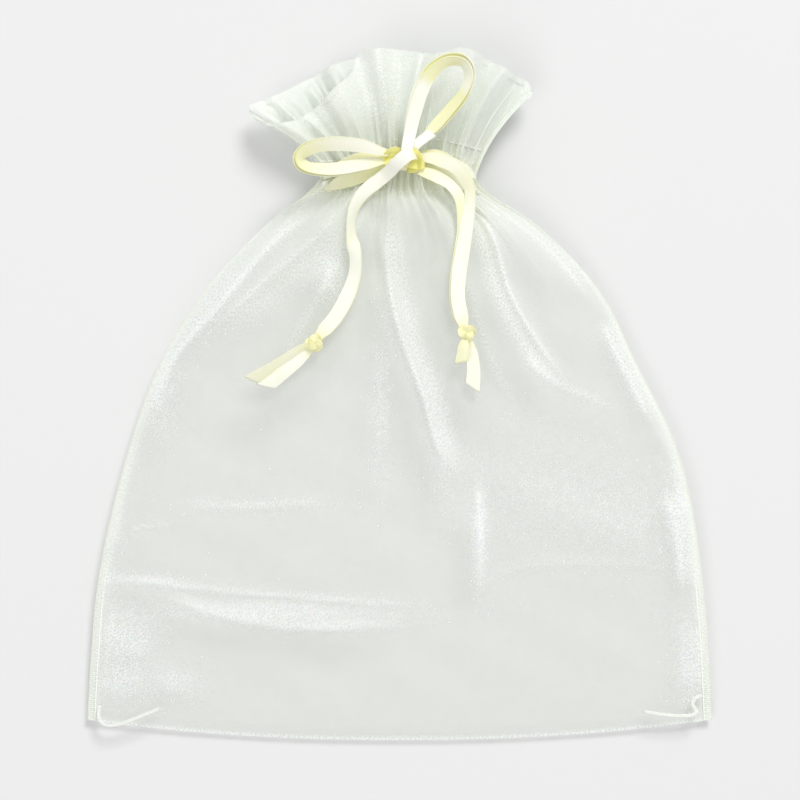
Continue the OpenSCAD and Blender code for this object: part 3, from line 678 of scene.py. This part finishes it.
# Folds of the front: the line each runs along, its height, its width, how white its crest is, both as denser
# cover and as painted highlight, and on which side of it (+1 right, -1 left, 0 neither) a light band of
# denser cloth and painted light lies where the cloth is doubled over.
FRONT_FOLDS = [
    ([(-0.002, 0.04), (-0.0036, 0.0328), (-0.0022, 0.023), (0, 0.0133), (0.0051, -0.001),
     (0.0082, -0.0113), (0.0144, -0.0195)], 0.0016, 0.0012, 0.95, -1),
    ([(0.0152, 0.04), (0.0195, 0.031), (0.0225, 0.021), (0.0287, 0.01), (0.0352, 0.0015)], 0.0017, 0.0011,
     0.95, 1),
    ([(0.0245, 0.009), (0.03, 0.0038), (0.0365, 0.0005), (0.045, -0.003)], 0.0004, 0.0012, 0.5, 0),
    ([(0.009, 0.04), (0.013, 0.025), (0.0185, 0.008), (0.025, -0.006)], 0.0009, 0.0018, 0.25, 0),
    ([(-0.011, 0.039), (-0.0185, 0.031), (-0.027, 0.024), (-0.039, 0.013)], 0.0012, 0.0016, 0.5, -1),
    ([(-0.006, 0.04), (-0.012, 0.028), (-0.02, 0.014), (-0.026, 0.002)], 0.0009, 0.002, 0.3, 0),
    ([(-0.005, 0.04), (-0.0045, 0.03), (-0.0032, 0.019)], -0.002, 0.0022, 0, 0),
    ([(0.006, 0.04), (0.005, 0.028), (0.007, 0.015)], -0.001, 0.002, 0, 0),
    ([(-0.063, -0.0365), (-0.045, -0.0392), (-0.025, -0.041), (-0.005, -0.0425), (0.008, -0.0428)], 0.0008,
     0.0008, 0.8, 0),
    ([(-0.051, -0.04), (-0.038, -0.045), (-0.0205, -0.0478), (0.006, -0.047)], 0.0006, 0.0008, 0.7, -1),
    ([(-0.045, -0.0226), (-0.03, -0.0228), (-0.012, -0.0212)], 0.0005, 0.0009, 0.35, 0),
    ([(-0.056, -0.0275), (-0.046, -0.0262)], 0.0004, 0.0008, 0.4, 0),
    ([(0.0155, -0.018), (0.0162, -0.026), (0.0166, -0.039)], 0.0008, 0.0011, 0.8, 0),
    ([(0.015, -0.04), (0.025, -0.0352), (0.042, -0.0345), (0.059, -0.036)], 0.0004, 0.0011, 0.2, 0),
    ([(0.05, -0.0105), (0.0545, -0.0135), (0.059, -0.0165)], -0.0009, 0.0013, 0, 0),
    ([(0.0165, 0.0385), (0.024, 0.0355), (0.033, 0.0275), (0.0395, 0.019)], 0.0004, 0.0013, 0.8, -1),
    ([(0.041, 0.0165), (0.0465, 0.005), (0.0525, -0.007)], 0.0005, 0.002, 0.9, -1),
    ([(0.0545, -0.019), (0.0572, -0.029), (0.0585, -0.042)], 0.0004, 0.0022, 0.9, -1),
    ([(-0.0165, 0.0382), (-0.0262, 0.0315), (-0.0375, 0.0185), (-0.0465, 0.008), (-0.0525, -0.006)],
     0.0004, 0.002, 1, 1),
    ([(-0.059, -0.033), (-0.0575, -0.02), (-0.054, -0.008)], 0.0004, 0.0022, 0.5, 0),
    ([(-0.061, -0.062), (-0.06, -0.05), (-0.059, -0.042)], 0.0003, 0.0016, 0.5, 0),
    ([(0.0045, 0.0705), (0.003, 0.064), (0.0018, 0.057), (0.0011, 0.0516)], 0.0012, 0.0009, 1, 1),
    ([(0.0248, 0.0651), (0.0225, 0.0595), (0.0204, 0.054), (0.016, 0.0475)], 0.001, 0.001, 0.9, -1),
    ([(-0.025, 0.056), (-0.02, 0.0525), (-0.015, 0.049)], 0.0008, 0.001, 0.5, 0),
    ([(-0.0085, 0.069), (-0.007, 0.062), (-0.005, 0.0545)], 0.0009, 0.0012, 0.4, 0),
]
# Places where the filament catches the light: middle, half sizes and strength.
FRONT_SPARKLES = [
    ((-0.056, -0.05), (0.006, 0.005), 1), ((-0.057, -0.059), (0.0055, 0.004), 0.9),
    ((-0.046, -0.059), (0.005, 0.0035), 0.7), ((0.06, -0.054), (0.004, 0.0095), 1),
    ((0.032, -0.021), (0.015, 0.011), 0.42), ((0.048, -0.026), (0.008, 0.009), 0.4),
    ((0.0163, -0.028), (0.0016, 0.011), 1), ((-0.0145, 0.025), (0.003, 0.0055), 0.9),
    ((-0.025, -0.044), (0.025, 0.0026), 0.9), ((-0.052, -0.038), (0.009, 0.0014), 0.8),
    ((-0.004, -0.002), (0.0022, 0.016), 0.6), ((0.009, -0.013), (0.003, 0.009), 0.5),
    ((-0.004, 0.063), (0.0055, 0.009), 0.9), ((-0.015, 0.06), (0.003, 0.006), 0.9),
    ((-0.05, 0.003), (0.004, 0.011), 0.9), ((-0.04, 0.019), (0.005, 0.006), 0.7),
    ((0.058, -0.022), (0.0035, 0.011), 0.8), ((-0.06, -0.03), (0.0025, 0.012), 0.7),
    ((-0.03, -0.0225), (0.015, 0.0015), 0.5), ((0.012, 0.062), (0.006, 0.007), 0.4),
]


def fading(along, at_start, at_end):
    """Fades a fold in from its start and out to its end; a greater number fades it sooner."""
    return smooth(along * at_start) * smooth((1 - along) * at_end)


def marks_of(x, y, u, folds, sparkles):
    """How creased and highlighted, how drawn into gathers and painted lighter, and how sparkling
    the cloth is at each point.
    """
    crease_and_highlight = np.zeros(x.shape)
    # Fold crests and doubled-over bands are denser cloth and carry a painted highlight.
    for line, _, width, white, banded in folds:
        if white:
            gap, along, hand = near_line(x, y, line)
            band = 0.7 * np.exp(-(gap / (3.6 * width)) ** 4) * (hand == banded) if banded else 0.0
            crest = 0.8 * bell(gap, 0.45 * width) + 0.2 * bell(gap, 2.2 * width)
            crease_and_highlight += white * fading(along, 6, 4) * np.maximum(crest, band)
    # A thin painted highlight runs along the bottom fold.
    from_fold = y - BOTTOM_SEAM_Y + BOTTOM_ARC * (1 - np.abs(u) ** 2.2)
    crease_and_highlight += 0.9 * bell(from_fold, 0.0006)

    # Cloth drawn into gathers is denser, and is painted lighter there against the shade of the pleats; so
    # are broad bands beside the seams.
    away = beyond_casing(y)
    body = 0.6 * np.exp(-away / 0.016) + 0.4 * np.exp(-away / 0.055)
    gathered_and_painted_light = np.where(y > CASING_HIGH, 0.7 + 0.25 * np.exp(-away / 0.010), body)
    from_seam = 1 - np.abs(u)
    seam = 0.6 * bell(from_seam, 0.03) + 0.35 * bell(from_seam, 0.11)
    gathered_and_painted_light = np.maximum(gathered_and_painted_light, np.where(y < CASING_LOW, seam, 0))

    sparkle = np.zeros(x.shape)
    for (middle_x, middle_y), (half_x, half_y), strength in sparkles:
        sparkle += strength * bell(x - middle_x, half_x) * bell(y - middle_y, half_y)
    return np.clip(crease_and_highlight, 0, 1), np.clip(gathered_and_painted_light, 0, 1), np.clip(sparkle, 0, 1)


COLUMNS = 330
BODY_ROWS = 160
CASING_ROWS = 14
FRILL_ROWS = 44
BODY_OUT = 0.0004
HALF_RIM = 0.0001
RIM_DROP = 0.0006
LINING_TIGHTER = 1.9
OUTER_REACH = 0.009
LINING_REACH = 0.018
LEAST_LEVEL = 0.00015
FLATTENED_BELOW = 0.0003
RIM_FROM = 2.93
RIM_STEEP = 1.2
LINING_STEEP = 1.5
MOST_STEEP = 3.0
# How long the cloth is from the bottom fold to the casing, across the casing, and up the frill.
WOVEN_LENGTHS = (0.112, 0.007, 0.024)


def cloth_wall(name, side, top, folds, sparkles):
    """One wall of the pouch: up the body, over the casing, up the frill, and down inside as its lining."""
    frill = np.append(np.linspace(2, 2.99, FRILL_ROWS)[1:], [2.997, 3])
    body = np.linspace(0, 1, BODY_ROWS) ** 1.15
    up = np.concatenate([body, np.linspace(1, 2, CASING_ROWS)[1:], frill])
    down = np.concatenate([frill[-2::-1], np.linspace(2, 1, CASING_ROWS)])
    u, s = np.meshgrid(np.linspace(-1, 1, COLUMNS), np.append(up, down))
    lining = np.arange(len(s))[:, None] >= len(up)

    turn = (OUTER_OUT + LINING_OUT) / 2
    outer = BODY_OUT + (OUTER_OUT - BODY_OUT) * at_casing(s)
    outer = outer + (turn + HALF_RIM - outer) * at_rim(s)
    inner = LINING_OUT + (turn - HALF_RIM - LINING_OUT) * at_rim(s)
    out = np.where(lining, inner, outer)
    x, y = plan(u, s, top)
    y = y - RIM_DROP * lining * smooth((s - 2.9) / 0.05) * smooth((3 - s) / 0.04)
    tightness = CASING_TIGHTNESS + LINING_TIGHTER * lining * smooth((3 - s) / 0.3)
    pleats = gathers(u, y, tightness, np.where(lining, LINING_REACH, OUTER_REACH))
    z = wall_level(side, u, s, pleats, out)
    ripple = (0.00012 * np.sin(310 * x + 90 * y + 1) * np.sin(190 * y - 60 * x)
              + 0.0001 * np.sin(520 * y + 240 * x))
    if side == "front":
        free = smooth((s - 0.03) / 0.1) * parting(u, s)
        for line, height, width, _, _ in folds:
            gap, along, _ = near_line(x, y, line)
            z = z + height * bell(gap, width) * fading(along, 5, 3) * free
        z = z + 1.6 * ripple * free
    else:
        z = z + 0.5 * ripple * parting(u, s)
        flattened = FLATTENED_BELOW * np.exp((z - FLATTENED_BELOW) / (2 * FLATTENED_BELOW))
        z = LEAST_LEVEL + np.where(z > FLATTENED_BELOW, z, flattened)

    k = np.arange(s.size).reshape(s.shape)
    quads = np.stack([k[:-1, :-1], k[:-1, 1:], k[1:, 1:], k[1:, :-1]], axis=-1).reshape(-1, 4)
    if side == "back":
        quads = quads[:, ::-1]
    piece = new_mesh(name, np.column_stack([x.ravel(), y.ravel(), z.ravel()]), quads.tolist())
    woven = np.interp(s, range(4), np.cumsum([0, *WOVEN_LENGTHS]))
    woven = np.where(lining, 2 * sum(WOVEN_LENGTHS) - woven, woven)
    give_uv(piece, "cloth", 1000 * np.column_stack([u.ravel() * CLOTH_WIDTH / 2, woven.ravel()]))

    # A sheer layer hides more of what lies behind it where it is steep to someone looking down.
    surface = np.stack([x, y, z])
    normal = np.cross(np.gradient(surface, axis=2), np.gradient(surface, axis=1), axis=0)
    steep = np.linalg.norm(normal, axis=0) / np.maximum(np.abs(normal[2]), 1e-12)
    most = np.where(s > RIM_FROM, RIM_STEEP, np.where(lining, LINING_STEEP, MOST_STEEP))
    give_values(piece, "steepness", np.clip(steep, 1, most))
    crease_and_highlight, gathered_and_painted_light, sparkle = marks_of(x, y, u, folds, sparkles)
    marks = piece.data.color_attributes.new("marks", "FLOAT_COLOR", "POINT")
    marks.data.foreach_set("color", np.stack([crease_and_highlight, gathered_and_painted_light, sparkle, np.ones(x.shape)], axis=-1)
                           .astype(np.float32).ravel())
    return piece


def organza(name):
    """Sheer white cloth: a fine even weave that the table shows through, denser and painted lighter where it
    is creased or drawn into gathers, with filament that glints pink, green and blue, and a painted warm
    reflection of the ribbon by the casing."""
    material, tree = empty_material(name)
    uv = add_node(tree, "UVMap", uv_map="cloth")["UV"]
    marks = add_node(tree, "Attribute", attribute_name="marks")["Color"]
    crease_and_highlight, gathered_and_painted_light, sparkle = add_node(tree, "SeparateColor", {"Color": marks})[:]
    threads = [add_node(tree, "TexWave", {"Vector": uv, "Scale": 1.57, "Distortion": 0.35, "Detail": 1.0,
                                          "Detail Scale": 0.6}, bands_direction=axis)["Fac"]
               for axis in ("X", "Y")]
    weave = maths(tree, "MAXIMUM", *threads)
    cloudy = noise(tree, uv, scale=0.09, detail=3)
    patches = noise(tree, uv, scale=0.45, detail=3, roughness=0.65)
    grain = noise(tree, uv, scale=1.9, detail=1)

    # The glinting places are broken into patches and grains, with single bright threads among them.
    broken = maths(tree, "ADD", maths(tree, "MULTIPLY_ADD", patches, -2.2, 1.35), sparkle)
    sparkle = maths(tree, "MULTIPLY", broken, maths(tree, "MULTIPLY", sparkle, 1.1), limit=True)
    grains = maths(tree, "MULTIPLY_ADD", grain, 7.0, -3.2, limit=True)
    grainy = maths(tree, "MULTIPLY", sparkle, grains)
    cells = add_node(tree, "TexVoronoi", {"Vector": uv, "Scale": 3.0})
    luck, hue, _ = add_node(tree, "SeparateColor", {"Color": cells["Color"]})[:]
    lucky = maths(tree, "GREATER_THAN", luck, maths(tree, "MULTIPLY_ADD", sparkle, -0.6, 0.9998))
    glint = maths(tree, "MULTIPLY", lucky, maths(tree, "LESS_THAN", cells["Distance"], 0.42))

    # Cover is the share of the table that one layer hides from straight above.
    uneven = maths(tree, "MULTIPLY_ADD", grain, 1.6, -0.35)
    cover = maths(tree, "MULTIPLY_ADD", weave, 0.08, 0.13)
    for mark, share in ((cloudy, 0.14), (crease_and_highlight, uneven), (gathered_and_painted_light, 0.5), (sparkle, 0.06),
                        (grainy, 0.32), (glint, 0.5)):
        cover = maths(tree, "MULTIPLY_ADD", mark, share, cover, limit=mark is glint)
    steepness = add_node(tree, "Attribute", attribute_name="steepness")["Fac"]
    seen_through = maths(tree, "POWER", maths(tree, "SUBTRACT", 1.0, cover), steepness)
    cover = maths(tree, "SUBTRACT", 1.0, seen_through, limit=True)

    # Painted highlight and painted light: creases, glints and gathers turn the colour lighter.
    painted_light_share = maths(tree, "MAXIMUM", maths(tree, "MAXIMUM", crease_and_highlight, sparkle), gathered_and_painted_light)
    base = mixed_colour(tree, painted_light_share, (0.85, 0.865, 0.815, 1), (0.965, 1.00, 0.98, 1))
    # A painted warm reflection of the ivory ribbon, strongest on the cloth by the casing.
    painted_ribbon_reflection = maths(tree, "MULTIPLY", maths(tree, "POWER", gathered_and_painted_light, 5.0), 0.5)
    with_ribbon_reflection = mixed_colour(tree, painted_ribbon_reflection, base, (1.0, 1.0, 0.84, 1))
    tint = add_node(tree, "HueSaturation", {"Hue": hue, "Saturation": 0.55, "Value": 1.05,
                                            "Color": (0.92, 0.62, 0.78, 1)})["Color"]
    colour = mixed_colour(tree, glint, with_ribbon_reflection, tint)
    bump = add_node(tree, "Bump", {"Height": weave, "Strength": 0.25, "Distance": 0.0001})["Normal"]
    filament = add_node(tree, "BsdfPrincipled", {
        "Base Color": colour, "Normal": bump, "Roughness": 0.5, "Specular IOR Level": 0.45,
        "Sheen Weight": maths(tree, "MULTIPLY_ADD", gathered_and_painted_light, 0.7, 0.3), "Sheen Roughness": 0.3})[0]
    through = add_node(tree, "BsdfTranslucent", {"Color": (0.98, 1.00, 0.98, 1)})[0]
    holes = add_node(tree, "BsdfTransparent")[0]
    sheer = mixed_shader(tree, cover, holes, mixed_shader(tree, 0.28, filament, through))
    add_node(tree, "OutputMaterial", {"Surface": sheer})
    return material


sheer_white = organza("sheer_white_organza")
back_cloth = cloth_wall("back_cloth", "back", BACK_TOP, [], [])
back_cloth.data.materials.append(sheer_white)
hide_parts("back_panel", "back_frill")
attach(back_cloth, "pouch")

front_cloth = cloth_wall("front_cloth", "front", FRONT_TOP, FRONT_FOLDS, FRONT_SPARKLES)
front_cloth.data.materials.append(sheer_white)
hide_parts("front_panel", "front_frill")
bend_with_mouth(front_cloth)


# -------------------- ribbon inside the casing
# Both drawstrings run right round the neck between the outer cloth and its lining, one above the other.
LANES = (("left", 1.27), ("right", 1.73))
RUN_POINTS = 90
RUN_TO = 0.92
RUN_WIDTH = 0.0029
RUN_WIDTHS = ((0, 0.3), (0.08, 0.9), (0.92, 0.9), (1, 0.3))
FRONT_RUN_OUT = 0.0013
BACK_RUN_OUT = 0.0010
for lane, s_at in LANES:
    for side in ("front", "back"):
        u = np.linspace(-RUN_TO, RUN_TO, RUN_POINTS)
        s = np.full(RUN_POINTS, s_at)
        x, y = plan(u, s, FRONT_TOP)
        z = middle_level(u, s) + gathers(u, y, CASING_TIGHTNESS)
        z += clear_height(u, s) + FRONT_RUN_OUT if side == "front" else BACK_LIFTED - BACK_RUN_OUT
        piece = ribbon_piece(f"{lane}_run_{side}", np.column_stack([x, y, z, np.zeros(RUN_POINTS)]),
                             width=RUN_WIDTH, narrowed=RUN_WIDTHS)
        finish_ribbon(piece, None if side == "front" else "pouch", f"{lane}_ribbon_{side}_run")
        if side == "front":
            bend_with_mouth(piece)


# -------------------- sewing
# White polyester thread: overlocked side seams, whose needle line runs just inside the edge, and a
# chain of thread left uncut at each bottom corner.
THREAD_SIDES = 6


def thread_piece(name, runs, radii):
    """Round threads along several runs of points, as one piece."""
    vertices, faces = [], []
    turn = np.linspace(0, 2 * math.pi, THREAD_SIDES, endpoint=False)
    for run, radius in zip(runs, np.broadcast_to(radii, len(runs))):
        points = np.column_stack([run, np.zeros(len(run))])
        _, across, through = directions(points)
        rings = (points[:, None, :3] + across[:, None] * (radius * np.cos(turn))[None, :, None]
                 + through[:, None] * (radius * np.sin(turn))[None, :, None])
        first, n = len(vertices), THREAD_SIDES
        vertices += list(rings.reshape(-1, 3))
        faces += [(first + i * n + j, first + i * n + (j + 1) % n, first + (i + 1) * n + (j + 1) % n,
                   first + (i + 1) * n + j) for i in range(len(run) - 1) for j in range(n)]
        last = first + (len(run) - 1) * n
        faces += [tuple(first + j for j in reversed(range(n))), tuple(last + j for j in range(n))]
    return new_mesh(name, vertices, faces)


def sewing_thread():
    """Spun polyester: matt white with a faint twist."""
    material, tree = empty_material("white_sewing_thread")
    place = add_node(tree, "TexCoord")["Object"]
    twist = add_node(tree, "TexWave", {"Vector": place, "Scale": 900}, bands_direction="DIAGONAL")["Fac"]
    tone = mixed_colour(tree, twist, (0.88, 0.90, 0.84, 1), (0.97, 0.98, 0.94, 1))
    bump = add_node(tree, "Bump", {"Height": twist, "Strength": 0.4, "Distance": 0.00005})["Normal"]
    face = add_node(tree, "BsdfPrincipled", {"Base Color": tone, "Normal": bump, "Roughness": 0.6,
                                             "Sheen Weight": 0.4})[0]
    add_node(tree, "OutputMaterial", {"Surface": face})
    return material


white_thread = sewing_thread()


def finish_thread(piece, node):
    """Gives a thread piece its material and the node it stands for."""
    piece.data.materials.append(white_thread)
    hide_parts(node)


SEAM_POINTS = 700
SEAM_TO = 0.98
SEAM_ABOVE = 0.0002
SEAM_INSET = 0.0015
LOOP_PITCH = 0.0008
POINTS_A_LOOP = 6
THREAD_RADIUS = 0.00006
NEEDLE_RADIUS = 0.00016
NEEDLE_ABOVE = 0.0003
for side, hand in (("left", -1), ("right", 1)):
    s = np.linspace(0.0, SEAM_TO, SEAM_POINTS)
    edge_x, edge_y = plan(np.full(SEAM_POINTS, float(hand)), s, FRONT_TOP)
    edge_z = middle_level(1.0, s) + SEAM_ABOVE
    run = travelled(np.column_stack([edge_x, edge_y]))
    at = np.arange(0, run[-1], LOOP_PITCH / POINTS_A_LOOP)
    x, y, z = (np.interp(at, run, v) for v in (edge_x, edge_y, edge_z))
    phase = at / LOOP_PITCH * 2 * math.pi
    inset = hand * SEAM_INSET
    looper = np.column_stack([x - inset * (0.5 - 0.5 * np.cos(phase)), y + 0.0002 * np.sin(2 * phase),
                              z + 0.00022 * np.sin(phase)])
    crossing = np.column_stack([x - inset * (0.5 + 0.5 * np.cos(phase)), y, z - 0.00015 * np.sin(phase)])
    needle = np.column_stack([x - inset, y, z + NEEDLE_ABOVE + 0.00005 * np.cos(phase)])
    seam = thread_piece(f"{side}_overlock_seam", [looper, crossing, needle],
                        [THREAD_RADIUS, THREAD_RADIUS, NEEDLE_RADIUS])
    finish_thread(seam, f"{side}_side_seam")
    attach(seam, "pouch")

LEFT_CHAIN = [
    (0.0001, 0.0016, 0.0006, 0), (-0.0001, -0.0004, 0.001, 0), (0.0005, -0.0017, 0.0014, 0),
    (0.0018, -0.0023, 0.0017, 0), (0.0034, -0.0022, 0.002, 0), (0.006, -0.0014, 0.0022, 0),
    (0.009, -0.0002, 0.0024, 0), (0.0124, 0.0012, 0.0026, 0),
]
RIGHT_CHAIN = [
    (-0.0006, 0.0034, 0.002, 0), (-0.0018, 0.003, 0.0024, 0), (-0.0024, 0.0016, 0.0026, 0),
    (-0.0016, 0.0002, 0.0026, 0), (-0.003, -0.0006, 0.0026, 0), (-0.007, -0.0006, 0.0026, 0),
    (-0.0124, 0.0002, 0.0028, 0),
]
CHAIN_STEP = 0.0001
CHAIN_STRANDS = 3
CHAIN_RADIUS = 0.00026
CHAIN_THREAD = 0.00014
CHAIN_PITCH = 0.0012
for side, route in (("left", LEFT_CHAIN), ("right", RIGHT_CHAIN)):
    low, high = (np.array(corner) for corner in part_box(f"{side}_thread_tail"))
    points = smooth_route(route, CHAIN_STEP)
    middle = (points[:, :3].min(0) + points[:, :3].max(0)) / 2
    points[:, :3] += (low + high) / 2 - middle
    _, across, through = directions(points)
    turns = np.arange(len(points)) * CHAIN_STEP / CHAIN_PITCH
    strands = []
    for k in range(CHAIN_STRANDS):
        phase = 2 * math.pi * (turns + k / CHAIN_STRANDS)
        strands.append(points[:, :3] + across * (CHAIN_RADIUS * np.cos(phase))[:, None]
                       + through * (CHAIN_RADIUS * np.sin(2 * phase))[:, None])
    chain = thread_piece(f"{side}_thread_chain", strands, CHAIN_THREAD)
    finish_thread(chain, f"{side}_thread_tail")
    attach(chain, "front_wall")


# -------------------- stitch rows
# Two rows of lockstitch close the casing. The gathers draw the stitches close together.
STITCHES = 24
STITCH_POINTS = 7
STITCH_SHARE = 0.76
STITCH_THREAD = 0.00013
ROW_TO = 0.96
for row, s_at in (("lower", 1.07), ("upper", 1.93)):
    for side, top, outwards in (("front", FRONT_TOP, 1), ("back", BACK_TOP, -1)):
        runs = []
        for k in range(STITCHES):
            middle = ROW_TO * (2 * (k + 0.5) / STITCHES - 1)
            half = ROW_TO * STITCH_SHARE / STITCHES
            u = np.linspace(middle - half, middle + half, STITCH_POINTS)
            s = np.full(STITCH_POINTS, s_at)
            x, y = plan(u, s, top)
            arc = 0.00012 * np.sin(np.linspace(0, math.pi, STITCH_POINTS))
            z = wall_level(side, u, s, gathers(u, y, CASING_TIGHTNESS), OUTER_OUT) + outwards * arc
            runs.append(np.column_stack([x, y, z]))
        piece = thread_piece(f"{side}_{row}_stitches", runs, STITCH_THREAD)
        finish_thread(piece, f"{side}_{row}_stitches")
        if side == "front":
            bend_with_mouth(piece)
        else:
            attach(piece, "pouch")


# -------------------- table and light
# A plain pale table, one large soft lamp beyond the frill, and an even white surround.
TABLE_GREY = (0.76, 0.76, 0.76, 1)
bpy.ops.object.select_all(action="DESELECT")
bpy.ops.mesh.primitive_plane_add(size=3, location=(0, 0, 0))
table = bpy.context.object
table.name = "table"
table_material = bpy.data.materials.new("pale_table")
table_material.use_nodes = True
table_face = table_material.node_tree.nodes["Principled BSDF"]
table_face.inputs["Base Color"].default_value = TABLE_GREY
table_face.inputs["Roughness"].default_value = 0.8
table_face.inputs["Specular IOR Level"].default_value = 0.1
table.data.materials.append(table_material)

LAMPS = (
    ("lamp_beyond_frill", (0.5, 1.25, 1.6), 0.8, 21.0),
    ("lamp_near_side", (-0.9, -0.9, 2.0), 1.6, 8.5),
)
for name, place, size, power in LAMPS:
    lamp_data = bpy.data.lights.new(name, "AREA")
    lamp_data.shape = "DISK"
    lamp_data.size = size
    lamp_data.energy = power
    lamp = bpy.data.objects.new(name, lamp_data)
    lamp.location = place
    lamp.rotation_euler = Vector([-c for c in place]).to_track_quat("-Z", "Y").to_euler()
    bpy.context.scene.collection.objects.link(lamp)

world = bpy.data.worlds.new("surround")
world.use_nodes = True
world.node_tree.nodes["Background"].inputs["Color"].default_value = (1, 1, 1, 1)
world.node_tree.nodes["Background"].inputs["Strength"].default_value = 0.67
bpy.context.scene.world = world
